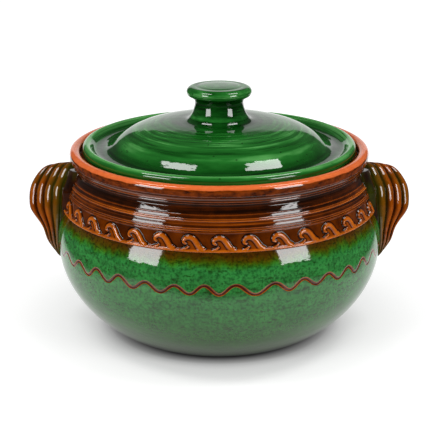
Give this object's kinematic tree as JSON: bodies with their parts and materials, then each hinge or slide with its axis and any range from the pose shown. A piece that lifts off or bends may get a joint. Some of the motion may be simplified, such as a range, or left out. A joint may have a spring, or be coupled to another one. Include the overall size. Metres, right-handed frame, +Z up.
{
  "type": "ceramic cooking pot",
  "caption": "Round-bellied glazed earthenware cooking pot with ribbed side handles, a relief scroll band and a loose domed lid with a knob, for slow stewing in an oven or on a stove.",
  "frame": {"origin": "centre of the base's underside, where the pot stands on the table", "axes": "+X towards the right-hand handle, -Y the side the handles face (front), +Z up"},
  "size_m": [0.3042, 0.2618, 0.1976],
  "materials": {
    "pot_glaze": "glossy mottled green glaze, brown at the neck, bare orange clay on the lip",
    "brown_glaze": "glossy honey-brown glaze, darker where it pools",
    "lid_glaze": "high-gloss deep green glaze"
  },
  "bodies": {
    "pot": {"pot_body": "pot_glaze", "scroll_band": "brown_glaze", "handle_right": "brown_glaze", "handle_left": "brown_glaze"},
    "lid": {"lid": "lid_glaze", "lid_knob": "lid_glaze"}
  },
  "joints": [
    {"name": "lid_lift", "type": "slide", "parent": "pot", "child": "lid", "axis": [0, 0, 1], "range_m": [0, 0.12]}
  ]
}
